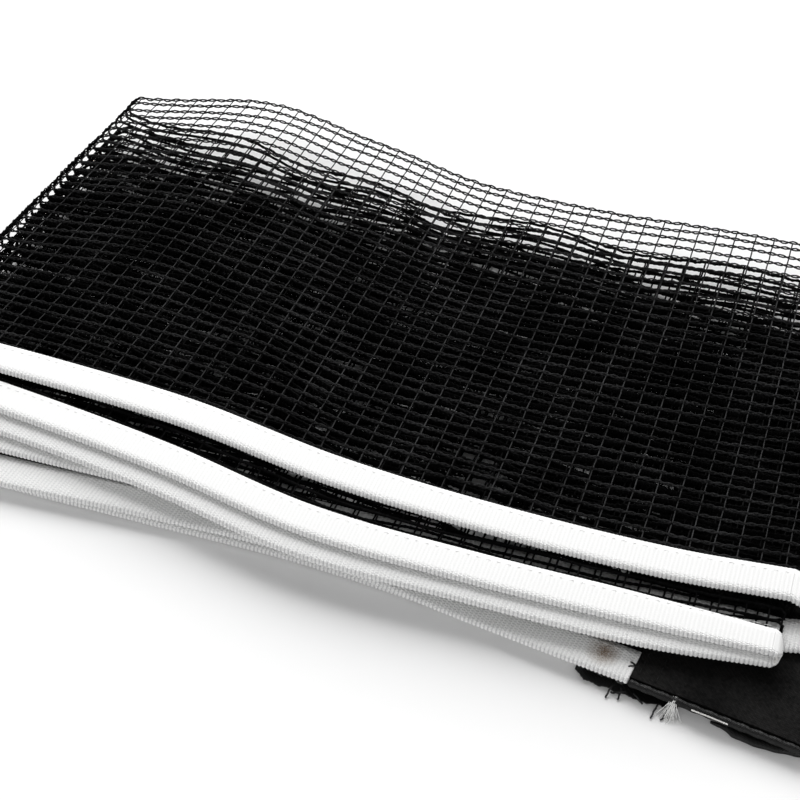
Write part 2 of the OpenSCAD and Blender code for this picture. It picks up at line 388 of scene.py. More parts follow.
def part_name(part, for_panel, for_fold=None):
    """The name that a node has on a panel or on a fold, with its number."""
    stem = for_panel if part["kind"] == "panel" else for_fold or for_panel
    return f"{stem.format(part['kind'])}_{part['index'] + 1}"


def outward_normals(piece):
    shape = bmesh.new()
    shape.from_mesh(piece.data)
    bmesh.ops.recalc_face_normals(shape, faces=shape.faces)
    shape.to_mesh(piece.data)
    shape.free()


def ring_faces(rings, sides, first=0):
    """Quads that join each ring of points to the next one, without caps."""
    return [(first + i * sides + j, first + i * sides + (j + 1) % sides,
             first + (i + 1) * sides + (j + 1) % sides, first + (i + 1) * sides + j)
            for i in range(rings - 1) for j in range(sides)]


def swept_piece(name, grid, material, smooth=True):
    """A closed skin over rings of points, with a cap on the first and the last ring."""
    rings, sides = grid.shape[:2]
    caps = [tuple(reversed(range(sides))), tuple((rings - 1) * sides + j for j in range(sides))]
    piece = new_piece(name, grid.reshape(-1, 3), faces=ring_faces(rings, sides) + caps,
                      smooth=smooth)
    piece.data.materials.append(material)
    outward_normals(piece)
    return piece


def plain_copy(piece, name):
    """The evaluated shape as a plain mesh, with no modifier left on it."""
    graph = bpy.context.evaluated_depsgraph_get()
    mesh = bpy.data.meshes.new_from_object(piece.evaluated_get(graph), depsgraph=graph)
    mesh.name = name
    old = piece.data
    piece.modifiers.clear()
    piece.data = mesh
    bpy.data.meshes.remove(old)
    return piece


def store(piece, name, values):
    """Keep one number for each point of a piece, for its material to read."""
    attribute = piece.data.attributes.new(name, "FLOAT", "POINT")
    attribute.data.foreach_set("value", np.asarray(values, np.float32))


def triangles(*pieces):
    return sum(len(p.vertices) - 2 for piece in pieces for p in piece.data.polygons)


# %% [markdown]
# Yarn is the same idea everywhere on this net: a few thin strands wound loosely round
# a path. So one node tree makes it all. It takes bare edges as paths, lays each strand
# as a helix round its path, jitters it a little so that no two stitches match, and
# sweeps a small ring along it. Four or five sides are enough for a strand that is well
# under a millimetre thick. The helix is flatter than it is wide, as yarn under a
# stack of other layers is, and an attribute called narrow can draw it in where it must
# stay slim.

# %% A node tree that winds yarn along bare edges
def new_group(name, inputs, outputs, group_kind="ShaderNodeTree"):
    """A node group with its sockets: a number shows its own kind, and a word names one."""
    tree = bpy.data.node_groups.new(name, group_kind)
    for side, sockets in (("INPUT", inputs), ("OUTPUT", outputs)):
        for label, value in sockets.items():
            kind = value if isinstance(value, str) else type(value).__name__.capitalize()
            made = tree.interface.new_socket(label, in_out=side, socket_type="NodeSocket" + kind)
            if kind != value:
                made.default_value = value
    return tree, tree.nodes.new("NodeGroupInput").outputs, tree.nodes.new("NodeGroupOutput")


def wound_yarn_tree():
    tree, given, made = new_group("wound yarn", {
        "Geometry": "Geometry", "Strands": 2, "Strand Radius": 0.0002, "Winding Radius": 0.0003,
        "Flatness": 0.5, "Winding Pitch": 0.0068, "Step": 0.0011, "Looseness": 0.0001,
        "Seed": 1.0, "Sides": 4, "Material": "Material"}, {"Geometry": "Geometry"},
        "GeometryNodeTree")
    add, maths, vectors = (partial(f, tree) for f in (add_node, maths_node, vector_node))

    curve = add("GeometryNodeMeshToCurve", Mesh=given["Geometry"]).outputs["Curve"]
    curve = add("GeometryNodeResampleCurve", mode="LENGTH", Curve=curve,
                Length=given["Step"]).outputs["Curve"]
    curve = add("GeometryNodeSetCurveNormal", mode="Z_UP", Curve=curve).outputs["Curve"]
    copies = add("GeometryNodeDuplicateElements", domain="SPLINE", Geometry=curve,
                 Amount=given["Strands"]).outputs

    along = add("GeometryNodeSplineParameter").outputs["Length"]
    turns = maths("DIVIDE", along, given["Winding Pitch"])
    offset = maths("DIVIDE", copies["Duplicate Index"], given["Strands"])
    angle = maths("MULTIPLY", maths("ADD", turns, offset), 2 * math.pi)
    normal = add("GeometryNodeInputNormal").outputs[0]
    across = vectors("CROSS_PRODUCT", add("GeometryNodeInputTangent").outputs[0], normal)
    upward = maths("MULTIPLY", maths("SINE", angle), given["Flatness"])
    out = vectors("ADD", vectors("SCALE", across, Scale=maths("COSINE", angle)),
                  vectors("SCALE", normal, Scale=upward))
    narrow = add("GeometryNodeInputNamedAttribute", data_type="FLOAT", Name="narrow")
    spread = maths("SUBTRACT", 1.0, narrow.outputs["Attribute"])
    wound = vectors("SCALE", out, Scale=maths("MULTIPLY", given["Winding Radius"], spread))

    noise = add("ShaderNodeTexNoise", noise_dimensions="4D", Scale=420.0, Detail=1.0,
                W=given["Seed"]).outputs["Color"]
    jitter = vectors("SCALE", vectors("SUBTRACT", noise, (0.5, 0.5, 0.5)),
                     Scale=given["Looseness"])
    moved = add("GeometryNodeSetPosition", Geometry=copies["Geometry"],
                Offset=vectors("ADD", wound, jitter)).outputs["Geometry"]
    ring = add("GeometryNodeCurvePrimitiveCircle", Resolution=given["Sides"],
               Radius=given["Strand Radius"]).outputs["Curve"]
    swept = add("GeometryNodeCurveToMesh", Curve=moved, Profile_Curve=ring, Fill_Caps=True)
    real = add("GeometryNodeRealizeInstances", Geometry=swept.outputs["Mesh"])
    painted = add("GeometryNodeSetMaterial", Geometry=real.outputs["Geometry"],
                  Material=given["Material"])
    fill(tree, made, Geometry=painted.outputs["Geometry"])
    return tree


yarn_tree = wound_yarn_tree()


def run_tree(piece, tree, material, **values):
    """Put a node tree on a piece, set its named inputs, and keep the plain result."""
    modifier = piece.modifiers.new("nodes", "NODES")
    modifier.node_group = tree
    names = {item.name: item.identifier for item in tree.interface.items_tree
             if item.item_type == "SOCKET" and item.in_out == "INPUT"}
    modifier[names["Material"]] = material
    for name, value in values.items():
        modifier[names[name.replace("_", " ")]] = value
    return plain_copy(piece, piece.name)


print("yarn tree has", len(yarn_tree.nodes), "nodes")

# %% [markdown]
# The black yarn is a soft multifilament polyester: nearly black, with paler fuzz where
# the filaments catch the light. A fibre group mixes two noises, one stretched into fine
# filaments and one broad, and puts out a mask and a height. We reuse it for each yarn
# and cloth on the net, each with its own scale and contrast.

# %% Reusable fibre group and the yarn materials
def fibre_group():
    tree, given, made = new_group(
        "fibre variation", {"Fine Scale": 900.0, "Broad Scale": 40.0, "Contrast": 1.0},
        {"Mask": "Float", "Height": "Float"})
    place = add_node(tree, "ShaderNodeTexCoord").outputs["Object"]
    fine, broad = (add_node(tree, "ShaderNodeTexNoise", Vector=place, Scale=given[scale],
                            Detail=detail).outputs["Fac"]
                   for scale, detail in (("Fine Scale", 3.0), ("Broad Scale", 2.0)))
    spread = ramp_node(tree, maths_node(tree, "MULTIPLY", fine, broad), 0.14, 0.38, 0.0, 1.0)
    fill(tree, made, Mask=maths_node(tree, "POWER", spread, given["Contrast"]), Height=fine)
    return tree


fibre = fibre_group()


def use_group(mat, tree, **values):
    return add_node(mat.node_tree, "ShaderNodeGroup", node_tree=tree, **values).outputs


def two_colours(mat, mask, *colours):
    """A blend of two colours by a mask; either may be another node's output."""
    first, second = ((*c, 1) if isinstance(c, tuple) else c for c in colours)
    return add_node(mat.node_tree, "ShaderNodeMix", data_type="RGBA", Factor=mask, A=first,
                    B=second).outputs["Result"]


def bump(mat, height, distance, strength=1.0):
    node = add_node(mat.node_tree, "ShaderNodeBump", Distance=distance, Strength=strength,
                    Height=height)
    shade(mat, Normal=node.outputs["Normal"])


def yarn_material(name, dark, pale, rough, sheen=0.0, shine=0.35):
    mat = plain_material(name, dark, rough, Sheen_Weight=sheen, Sheen_Roughness=0.4,
                         Specular_IOR_Level=shine)
    fibres = use_group(mat, fibre, Fine_Scale=1500.0, Broad_Scale=60.0, Contrast=1.4)
    shade(mat, Base_Color=two_colours(mat, fibres["Mask"], dark, pale))
    bump(mat, fibres["Height"], 0.00012)
    return mat


black_row_yarn = yarn_material("black_row_yarn", (0.002, 0.002, 0.0022),
                               (0.032, 0.032, 0.033), 0.75, shine=0.16)
black_cross_thread = yarn_material("black_cross_thread", (0.002, 0.002, 0.0022),
                                   (0.040, 0.040, 0.042), 0.6, shine=0.20)
# Yarn inside the pack is painted darker, with almost no pale fuzz: painted shade for the light
# that the layers above keep off
black_yarn_painted_shade = yarn_material("black_yarn_painted_shade", (0.0015, 0.0015, 0.0016),
                                   (0.011, 0.011, 0.0112), 0.85, shine=0.06)
white_sewing_thread = yarn_material("white_sewing_thread", (0.86, 0.86, 0.85),
                                    (0.96, 0.96, 0.95), 0.7)
white_cord_yarn = yarn_material("white_cord_yarn", (0.74, 0.73, 0.71), (0.93, 0.92, 0.90), 0.7,
                                sheen=0.1)
print("materials", len(bpy.data.materials))

# %% [markdown]
# The netting itself has rows along the net and thin cross threads from row to row. We
# lay one bare polyline for each row and each thread with the cloth rule, count the
# threads along the whole strip so that they carry on through the folds, and let the
# yarn tree wind them. Rows and threads stay one piece for each panel and each fold. The
# free top panel keeps its yarn round. The panels under it are pressed, so theirs spreads
# wide and flat, most in the middle and least by the headband and the free edge.

# %% Netting
row_spacing, thread_spacing = 4.43, 6.8
row_depths = band_width + 1.2 + row_spacing * np.arange(32)
row_depths = row_depths[row_depths < net_height - 1.0]
row_depths = np.append(row_depths, net_height)
yarn_random = np.random.default_rng(27)
thread_at = thread_spacing * (0.5 + np.arange(int(strip_length / thread_spacing)))
thread_at = thread_at + yarn_random.normal(0, 0.35, len(thread_at))
last_row = len(row_depths) - 1
row_wander = yarn_random.uniform(0, 2 * np.pi, (len(row_depths), 2))
rows_from_edge = np.minimum(np.arange(len(row_depths)), last_row - np.arange(len(row_depths)))
seam_reach = 4.0
thread_lift = -0.22
top_part = PARTS[2 * LEVEL_OF.index(5)]
ROUND_ROWS = dict(Strands=2, Strand_Radius=0.00034, Winding_Radius=0.00048, Flatness=0.45,
                  Step=0.00115)
PRESSED_ROWS = dict(Strands=4, Strand_Radius=0.00035, Winding_Radius=0.00080, Flatness=0.16,
                    Step=0.0017)
ROUND_THREAD, PRESSED_THREAD = 0.00024, 0.00030


def row_depth(row, along):
    """A row wanders in depth, more so away from the top panel; the last is scalloped."""
    if row == last_row:
        return row_depths[row] + 0.9 * np.abs(np.sin(np.pi * along / thread_spacing))
    away = np.maximum(top_part["start"] - along, along - top_part["start"] - top_part["length"])
    wander = (0.35 * np.sin(along / 23.0 + row_wander[row, 0])
              + 0.25 * np.sin(along / 6.1 + row_wander[row, 1]))
    inner = np.clip(rows_from_edge[row] / 6, 0, 1)
    return row_depths[row] + wander * (1 + 1.5 * np.clip(away / 15, 0, 1) * inner)


def add_path(points, edges, path):
    first = len(points)
    points.extend(path)
    edges.extend((first + i, first + i + 1) for i in range(len(path) - 1))


def netting_piece(part):
    """Rows and threads of one part; the strip's outer ends reach into the sleeves' seams."""
    name = part_name(part, "netting_{}")
    step = 2.2 if part["kind"] == "panel" else 0.9
    start = -seam_reach if part is PARTS[0] else 0.0
    end = part["length"] + (seam_reach if part is PARTS[-1] else 0.0)
    along = np.linspace(start, end, max(4, int(round((end - start) / step)) + 1))
    stations = stations_of(part, along)
    points, edges = [], []
    for row in range(len(row_depths)):
        add_path(points, edges, cloth_points(stations, row_depth(row, along + part["start"])))
    rows = new_piece(name, points, edges)
    on_top = part is top_part
    narrow = 0.0 * rows_from_edge if on_top else np.interp(rows_from_edge, [4, 8], [0.5, -0.25])
    store(rows, "narrow", np.repeat(narrow, len(along)))
    # Panels under the top one take the darker yarn, painted shade for the light that the layers
    # above them keep off
    run_tree(rows, yarn_tree, black_row_yarn if on_top else black_yarn_painted_shade,
             **(ROUND_ROWS if on_top else PRESSED_ROWS), Winding_Pitch=thread_spacing * MM,
             Looseness=0.0005, Seed=float(part["start"]), Sides=4)

    to_start = thread_at - part["start"]
    points, edges = [], []
    for at in thread_at[(to_start >= 0) & (to_start < part["length"])]:
        depths = [band_thick / 2 + 1.6, *(float(row_depth(r, at)) for r in range(len(row_depths)))]
        station = stations_of(part, np.full(len(depths), at - part["start"]))
        add_path(points, edges, cloth_points(station, depths, thread_lift))
    threads = []
    if points:
        threads = [new_piece(name + "_threads", points, edges)]
        run_tree(threads[0], yarn_tree, black_cross_thread if on_top else black_yarn_painted_shade,
                 Strands=1, Strand_Radius=ROUND_THREAD if on_top else PRESSED_THREAD,
                 Winding_Radius=0.00005, Flatness=1.0, Winding_Pitch=0.009, Step=0.0022,
                 Looseness=0.00025, Seed=3.0 + part["start"], Sides=4)
        fasten(threads[0], part)
    fasten(rows, part, name)
    return rows, threads


net_pieces = [netting_piece(part) for part in PARTS]
print("netting triangles", sum(triangles(rows, *threads) for rows, threads in net_pieces))

# %% [markdown]
# The headband is a ribbon folded lengthwise over the top of the netting. It is woven
# with fine ribs across it, a little over a millimetre apart, which show as small teeth
# along its edges. The ribs follow a rule, so we put them in the shape: a round-nosed
# section is swept along the strip, and drawn in by 0.3 mm in the groove between two ribs.
# A ribs group reads how far along the strip a point is, from an attribute that we store
# on the mesh, so that painted shade makes the grooves darker than the ridges. Ironing has
# pressed the ribs of the flat faces, so they are shallower there than on the nose.

# %% Ribbon finish
rib_pitch = 1.24
rib_height = 0.30
pressed = 0.35
ribbon_ply = 0.6


def ribs_group():
    """Grooves across a ribbon, 0 on the ridges and 1 in the grooves, with a thread texture."""
    tree, given, made = new_group("ribbon ribs", {"Pitch": rib_pitch, "Thread Pitch": 0.9},
                                  {"Groove": "Float", "Height": "Float"})
    maths = partial(maths_node, tree)
    along, around, shown = (
        add_node(tree, "ShaderNodeAttribute", attribute_name=name).outputs["Fac"]
        for name in ("along", "around", "shade"))
    turn = maths("DIVIDE", along, given["Pitch"])
    wave = maths("COSINE", maths("MULTIPLY", turn, 2 * math.pi))
    groove = maths("MULTIPLY", maths("SUBTRACT", 1.0, wave), 0.5)
    # The shade attribute sets how much painted shade a groove gets, and how strong the thread bump
    # is
    groove = maths("MULTIPLY", maths("POWER", groove, 2.5), shown)
    # Threads in neighbouring ribs are half a thread out of step, like bricks
    half = maths("MULTIPLY", maths("FLOOR", turn), 0.5)
    course = maths("DIVIDE", around, given["Thread Pitch"])
    bead = maths("COSINE", maths("MULTIPLY", maths("ADD", course, half), 2 * math.pi))
    bead = maths("MULTIPLY", maths("ADD", bead, 1.0), 0.5)
    bead = maths("MULTIPLY", bead, maths("MINIMUM", maths("MULTIPLY", shown, 3.0), 1.0))
    fill(tree, made, Groove=groove,
         Height=maths("MULTIPLY", bead, maths("SUBTRACT", 1.0, groove)))
    return tree


ribs = ribs_group()


def ribbon_finish(name, pale, painted_groove_shade, soil, soil_place, soil_reach):
    """White ribbed cloth with painted shade in its grooves, on which handling has left one small
    brown mark.
    """
    mat = plain_material(name, pale, 0.8, Sheen_Weight=0.05, Specular_IOR_Level=0.25)
    tree, maths = mat.node_tree, partial(maths_node, mat.node_tree)
    fibres = use_group(mat, fibre, Fine_Scale=2600.0, Broad_Scale=34.0, Contrast=1.0)
    weave = use_group(mat, ribs)
    # Painted shade: the grooves between the ribs take the darker grey
    base = two_colours(mat, maths("MULTIPLY", weave["Groove"], 0.75), pale, painted_groove_shade)
    place = add_node(tree, "ShaderNodeTexCoord").outputs["Object"]
    far = maths("DIVIDE", vector_node(tree, "DISTANCE", place, soil_place), soil_reach)
    stain = maths("MULTIPLY", maths("MAXIMUM", maths("SUBTRACT", 1.0, far), 0.0),
                  maths("ADD", fibres["Mask"], 0.35))
    shade(mat, Base_Color=two_colours(mat, stain, base, soil))
    bump(mat, weave["Height"], 0.00025, 0.7)
    return mat


# The grey is painted shade for the rib grooves; the brown is a stain at one place
white_ribbon = ribbon_finish("white_ribbon", (0.95, 0.95, 0.945), (0.46, 0.46, 0.47),
                             (0.20, 0.12, 0.06), (0.0888, -0.0860, 0.0050), 0.0056)

# %% [markdown]
# The ribbon's own shape comes next. A section is a list of points round the folded
# ribbon, each with its depth, its lift and how much of a rib's full swell it has there:
# all of it round the nose, a third on the ironed flats and none inside. The ribbon also
# narrows towards its tight hairpin, which draws it in further and rounds its corners.

# %% Headband
def ribbon_section():
    """Outline of the folded ribbon: depth, lift and share of a rib's swell."""
    r = band_thick / 2
    flats = [1.0, 0.8, 0.5, 0.25]
    outer = [(band_width * f, -r, pressed) for f in flats]
    outer += [(r + r * math.cos(t), r * math.sin(t), 1.0 if t > 0.6 * math.pi else 0.7)
              for t in np.radians(np.linspace(270, 90, 11))]
    outer += [(band_width * f, r, pressed) for f in reversed(flats)]
    slot = r - ribbon_ply
    inner = [(band_width, slot, 0.0)]
    inner += [(r + slot * math.cos(t), slot * math.sin(t), 0.0)
              for t in np.radians(np.linspace(90, 270, 5))]
    inner += [(band_width, -slot, 0.0)]
    return np.array(outer + inner)


section = ribbon_section()
section_run = np.concatenate([[0], np.cumsum(np.hypot(*np.diff(section[:, :2], axis=0).T))])
hairpin = PARTS[3]


def headband_piece(part):
    along = np.linspace(0, part["length"], int(round(part["length"] / (rib_pitch / 4))) + 1)
    stations = stations_of(part, along)
    rib = rib_height * (np.cos(2 * np.pi * (along + part["start"]) / rib_pitch) - 1) / 2
    pinch = 2.8 * np.abs(stations[:, OUT_X]) ** 2.5 if part is hairpin else 0.0
    narrows = any(part is PARTS[k] for k in (2, 3, 4))
    taper = 0.22 * np.clip((stations[:, AT_X] - 75) / 55, 0, 1) ** 2 * narrows
    grid = []
    for depth, lift, swells in section:
        ahead = max(0.0, band_thick / 2 - depth)
        size = math.hypot(ahead, lift) or 1.0
        drawn = depth * (1 - taper) + pinch * (1 - 2 * depth / band_width)
        grid.append(cloth_points(stations, drawn - swells * rib * ahead / size,
                                 lift + swells * rib * lift / size))
    name = part_name(part, "headband_{}")
    piece = swept_piece(name, np.stack(grid, axis=1), white_ribbon)
    store(piece, "along", np.repeat(along + part["start"], len(section)))
    store(piece, "around", np.tile(section_run, len(along)))
    # Painted groove shade, and the thread bump, are almost gone on the upper flats, which lie in
    # full light; the flats lower in the pack, in shade, keep about a third
    turned = stations[:, TURNED]
    level = stations[:, LOW] * (1 - turned) + stations[:, UP] * turned
    least = np.interp(level, [3, 4], [0.3, 0.03])[:, None]
    store(piece, "shade", np.maximum((section[:, 2] - pressed) / (1 - pressed), least).ravel())
    fasten(piece, part, name)
    return piece


headbands = [headband_piece(part) for part in PARTS]
print("headband triangles", triangles(*headbands))

# %% [markdown]
# A thin tension cord runs inside the nose of the headband, from sleeve to sleeve. It is
# three strands laid together, so the yarn tree makes it as well, with a rounder and
# tighter winding. White stitches hold the ribbon to the netting: each is a short yarn
# of its own that dips into the cloth at both ends, a millimetre and a half in front of
# the ribbon's open edges.

# %% Tension cord and headband stitches
stitch_pitch, stitch_long, stitch_depth = 3.1, 2.2, 9.4


def cord_piece(part):
    along = np.linspace(0, part["length"], max(6, int(part["length"] / 1.5)))
    points, edges = [], []
    add_path(points, edges, cloth_points(stations_of(part, along), band_thick / 2))
    name = part_name(part, "tension_cord", "cord_fold")
    piece = new_piece(name, points, edges)
    run_tree(piece, yarn_tree, white_cord_yarn, Strands=3, Strand_Radius=0.00022,
             Winding_Radius=0.00024, Flatness=1.0, Winding_Pitch=0.0036, Step=0.0006,
             Looseness=0.00003, Seed=float(part["index"]), Sides=5)
    fasten(piece, part, name)
    return piece


def stitches(name, part, paths, material, thick):
    """One piece of short stitches, on a part of the strip or, with no part, on a sleeve."""
    points, edges = [], []
    for path in paths:
        add_path(points, edges, path)
    piece = new_piece(name, points, edges)
    run_tree(piece, yarn_tree, material, Strands=2, Strand_Radius=thick,
             Winding_Radius=thick * 0.7, Flatness=1.0, Winding_Pitch=0.0013, Step=0.0004,
             Looseness=0.00002, Seed=5.0, Sides=5)
    if part is None:
        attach(piece, "bottom_leaf")
    else:
        fasten(piece, part)
    return piece


def headband_stitches(part):
    face = band_thick / 2
    paths = []
    first = math.ceil(part["start"] / stitch_pitch) * stitch_pitch
    for at in np.arange(first, part["start"] + part["length"] - stitch_long, stitch_pitch):
        here = at - part["start"] + np.linspace(0, stitch_long, 5)
        for side in (1, -1):
            lift = side * (face + np.array([-0.25, -0.02, 0.04, -0.02, -0.25]))
            paths.append(cloth_points(stations_of(part, here), stitch_depth, lift))
    return stitches(part_name(part, "headband_stitches_{}"), part, paths, white_sewing_thread,
                    0.00006)


cords = [cord_piece(part) for part in PARTS]
seams = [headband_stitches(part) for part in PARTS if part["kind"] == "panel"]
print("cord and stitch triangles", triangles(*cords, *seams))

# %% [markdown]
# A sleeve is a flat pocket of dark woven cloth for a clamp's post. Its section is one
# loop round the outside, which runs in and out of the seam that grips the netting, and
# one loop round the inside of the pocket. Both are swept from the headband side to the
# bottom edge of the net. Small waves in the surface keep the cloth from looking like a
# plate, and a weave group gives its threads.

# %% Sleeves
sleeve_ply, seam_wall, slot_depth, slot_half = 0.8, 1.6, 6.4, 0.6
sleeve_deep = net_height - 1.0


def weave_group():
    """Twill: two sets of threads that pass over each other, with a diagonal step."""
    tree, given, made = new_group("twill weave", {"Thread Pitch": 0.0005},
                                  {"Mask": "Float", "Height": "Float"})
    maths = partial(maths_node, tree)
    place = add_node(tree, "ShaderNodeTexCoord").outputs["Object"]
    split = add_node(tree, "ShaderNodeSeparateXYZ", place).outputs
    x, y = (maths("DIVIDE", split[axis], given["Thread Pitch"]) for axis in "XY")
    diagonal = maths("SINE", maths("MULTIPLY", maths("ADD", x, y), math.pi))
    over, under = (maths("SINE", maths("MULTIPLY", way, 2 * math.pi)) for way in (x, y))
    threads = maths("MULTIPLY", maths("MULTIPLY", over, under), 0.30)
    height = maths("ADD", maths("ADD", threads, maths("MULTIPLY", diagonal, 0.20)), 0.5)
    fill(tree, made, Mask=maths("MAXIMUM", height, 0.0), Height=height)
    return tree


def cloth_finish(name, dark, pale, rough, coat, pitch):
    mat = plain_material(name, dark, rough, Coat_Weight=coat, Coat_Roughness=0.25,
                         Specular_IOR_Level=0.12 + coat)
    maths = partial(maths_node, mat.node_tree)
    weave = use_group(mat, twill, Thread_Pitch=pitch)
    fibres = use_group(mat, fibre, Fine_Scale=900.0, Broad_Scale=55.0, Contrast=0.7)
    mask = maths("MULTIPLY", weave["Mask"], fibres["Mask"])
    worn = maths("MULTIPLY", fibres["Mask"], 0.25)
    shade(mat, Base_Color=two_colours(mat, mask, dark, pale),
          Roughness=maths("SUBTRACT", rough + 0.1, worn))
    bump(mat, weave["Height"], 0.0002, 0.8)
    return mat


twill = weave_group()
sleeve_cloth = cloth_finish("black_sleeve_cloth", (0.002, 0.002, 0.002),
                            (0.015, 0.014, 0.0135), 0.85, 0.0, 0.0007)
hem_cloth = cloth_finish("rolled_hem_cloth", (0.002, 0.002, 0.002),
                         (0.009, 0.0085, 0.0085), 0.45, 0.10, 0.0006)


def sleeve_points(level, x, y, z):
    """Points in metres from places in a sleeve's own frame, in millimetres."""
    at = sleeve_left[level]
    slope = float(lean(level, at))
    turn = -math.atan(slope)
    x, y = np.asarray(x, float), np.asarray(y, float)
    ox = at + 0.1 + slope * sleeve_setback
    oy = float(front_line(level, at)) + sleeve_setback
    return np.stack([ox + x * math.cos(turn) - y * math.sin(turn),
                     oy + x * math.sin(turn) + y * math.cos(turn),
                     near_height(level) + np.asarray(z, float) + 0 * x], axis=-1) * MM


def even_path(corners, step):
    """Points about one step apart along a chain of corners, without the last corner."""
    path = []
    for a, b in zip(corners[:-1], corners[1:]):
        count = max(1, int(round(math.dist(a, b) / step)))
        path += [tuple(p + (q - p) * i / count for p, q in zip(a, b)) for i in range(count)]
    return path


def sleeve_piece(level):
    """A pressed pocket: a skin outside, which runs into the seam, and one inside."""
    half, inner, bevel, grid_step = band_thick / 2, band_thick / 2 - sleeve_ply, 0.3, 3.0
    round_at = sleeve_width - half
    edge = [(round_at + half * math.sin(t), -half * math.cos(t))
            for t in np.linspace(0, math.pi, 9)]
    outside = even_path([(bevel, -half), *edge, (bevel, half), (0, half - bevel), (0, slot_half),
                         (slot_depth, slot_half), (slot_depth, -slot_half), (0, -slot_half),
                         (0, bevel - half), (bevel, -half)], grid_step)
    left, right = slot_depth + seam_wall, sleeve_width - seam_wall
    pocket = even_path([(left, -inner), (left, inner), (right, inner), (right, -inner),
                        (left, -inner)], grid_step)
    ys = np.linspace(0, sleeve_deep, 52)
    soft = np.random.default_rng(40 + level)
    waves = [(soft.uniform(14, 40), soft.uniform(18, 60), soft.uniform(0, 6.3),
              soft.uniform(0.05, 0.12)) for _ in range(5)]
    points, faces, count = [], [], 0
    for loop in (outside, pocket):
        xs, zs = np.array(loop).T
        # The cloth bulges a little between the seam and the far edge
        free = np.clip((xs - 9) / 8, 0, 1) * np.clip((sleeve_width - 2 - xs) / 6, 0, 1)
        for y in ys:
            wave = sum(size * np.sin(TURN * (xs / long + y / deep) + phase)
                       for long, deep, phase, size in waves)
            points.extend(sleeve_points(level, xs, y + 0 * xs,
                                        zs + free * wave * (1 if level else 0.4)))
        faces += ring_faces(len(ys), len(loop), count)
        count += len(loop) * len(ys)
    ring = [[Vector((x, z, 0)) for x, z in loop] for loop in (outside, pocket)]
    n = len(outside)
    for end in (0, len(ys) - 1):
        faces += [tuple(end * n + i if i < n else n * len(ys) + end * len(pocket) + i - n
                        for i in tri) for tri in tessellate_polygon(ring)]
    piece = new_piece(f"post_sleeve_{level + 1}", points, faces=faces, smooth=False)
    piece.data.materials.append(sleeve_cloth)
    outward_normals(piece)
    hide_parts(f"post_sleeve_{level + 1}")
    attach(piece, "bottom_leaf")
    return piece


sleeves = [sleeve_piece(level) for level in (0, 1)]
print("sleeve triangles", triangles(*sleeves))

# %% [markdown]
# The sleeve's top edge is rolled into a hem. We sweep a round section along it, with a
# shallow spiral groove where the roll was twisted as it was sewn. Black stitches run
# down each side of the seam and down the far edge, and two crossed ones hold the
# ribbon's cut end. The sewing has left loose ends at the near corner: a raw edge of
# cloth, a few black threads, one straight white thread along the hem, and a tuft of
# white fluff. Further along, slack cloth of the lower sleeve rolls out a little.

# %% Hems, seam stitches and loose ends
def hem_piece(level):
    ridge, sides, radius = 4.6, 20, band_thick / 2
    t = np.linspace(0, 2 * np.pi, sides, endpoint=False)
    rings = []
    for x in np.linspace(0, sleeve_width, 150):
        taper = min(1.0, 0.55 + min(x, sleeve_width - x) / 1.6)
        r = taper * radius * (0.93 + 0.07 * np.cos(t * 2 - 2 * np.pi * x / ridge))
        rings.append(sleeve_points(level, x + 0 * t, -radius + r * np.cos(t), r * np.sin(t)))
    piece = swept_piece(f"sleeve_piping_{level + 1}", np.stack(rings), hem_cloth)
    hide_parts(f"sleeve_piping_{level + 1}")
    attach(piece, "bottom_leaf")
    return piece


def seam_stitches(level):
    paths = []
    pitch, long, dip = 3.0, 2.2, np.array([-0.3, 0.03, 0.12, 0.03, -0.3])
    for column in (2.0, slot_depth + 0.8, sleeve_width - 2.4):
        for y in np.arange(2.0, sleeve_deep - pitch, pitch):
            for side in (1, -1):
                paths.append(sleeve_points(level, column + np.zeros(5),
                                           y + np.linspace(0, long, 5),
                                           side * (band_thick / 2 + dip)))
    return stitches(f"sleeve_stitches_{level + 1}", None, paths, black_cross_thread, 0.00012)


def loose_ends(name, starts, material, thick, length, spread, seed):
    """Short threads that start at given places, droop to the floor and curl a little."""
    chance = np.random.default_rng(seed)
    points, edges = [], []
    for place, heading in starts:
        bend = chance.uniform(-1, 1) * spread
        along = np.linspace(0, 1, 12)
        reach = length * chance.uniform(0.6, 1.0)
        angle = heading + bend * along * 1.6
        x = place[0] + np.cumsum(np.cos(angle)) * reach / len(along)
        y = place[1] + np.cumsum(np.sin(angle)) * reach / len(along)
        arc = chance.uniform(0, 1.2) * np.sin(np.pi * along)
        z = np.maximum(place[2] * (1 - along * 1.2) + arc, thick / MM)
        add_path(points, edges, np.stack([x, y, z], axis=-1) * MM)
    piece = new_piece(name, points, edges)
    run_tree(piece, yarn_tree, material, Strands=1, Strand_Radius=thick,
             Winding_Radius=thick * 0.3, Flatness=1.0, Winding_Pitch=0.002, Step=0.0005,
             Looseness=0.00008, Seed=float(seed), Sides=5)
    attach(piece, "bottom_leaf")
    return piece


def slack_cloth(name, grid, smooth):
    """A scrap of the lower sleeve's cloth, swept over rings of points in millimetres."""
    piece = swept_piece(name, grid * MM, hem_cloth, smooth)
    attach(piece, "bottom_leaf")
    return piece


def raw_edge():
    """The lower sleeve's raw cloth edge, which shows under the ribbon's cut end."""
    wide, thick = 3.2, 0.45
    xs = np.linspace(82.5, 113.0, 90)
    fray = np.random.default_rng(21).uniform(-0.14, 0.14, len(xs))
    front = front_line(1, xs) - 1.5 + 0.22 * np.sin(xs * 1.3) + fray
    front = front + 2.2 * np.clip((86 - xs) / 3.5, 0, 1) + 1.6 * np.clip((xs - 104) / 9, 0, 1)
    lift = 0.25 + 0.25 * (1 + np.sin(xs * 0.9))
    corners = ((0, 0), (wide, 0), (wide, thick), (0, thick))
    rings = np.stack([np.stack([xs, front + y, z + lift], axis=-1) for y, z in corners], axis=1)
    return slack_cloth("sleeve_raw_edge", rings, smooth=False)


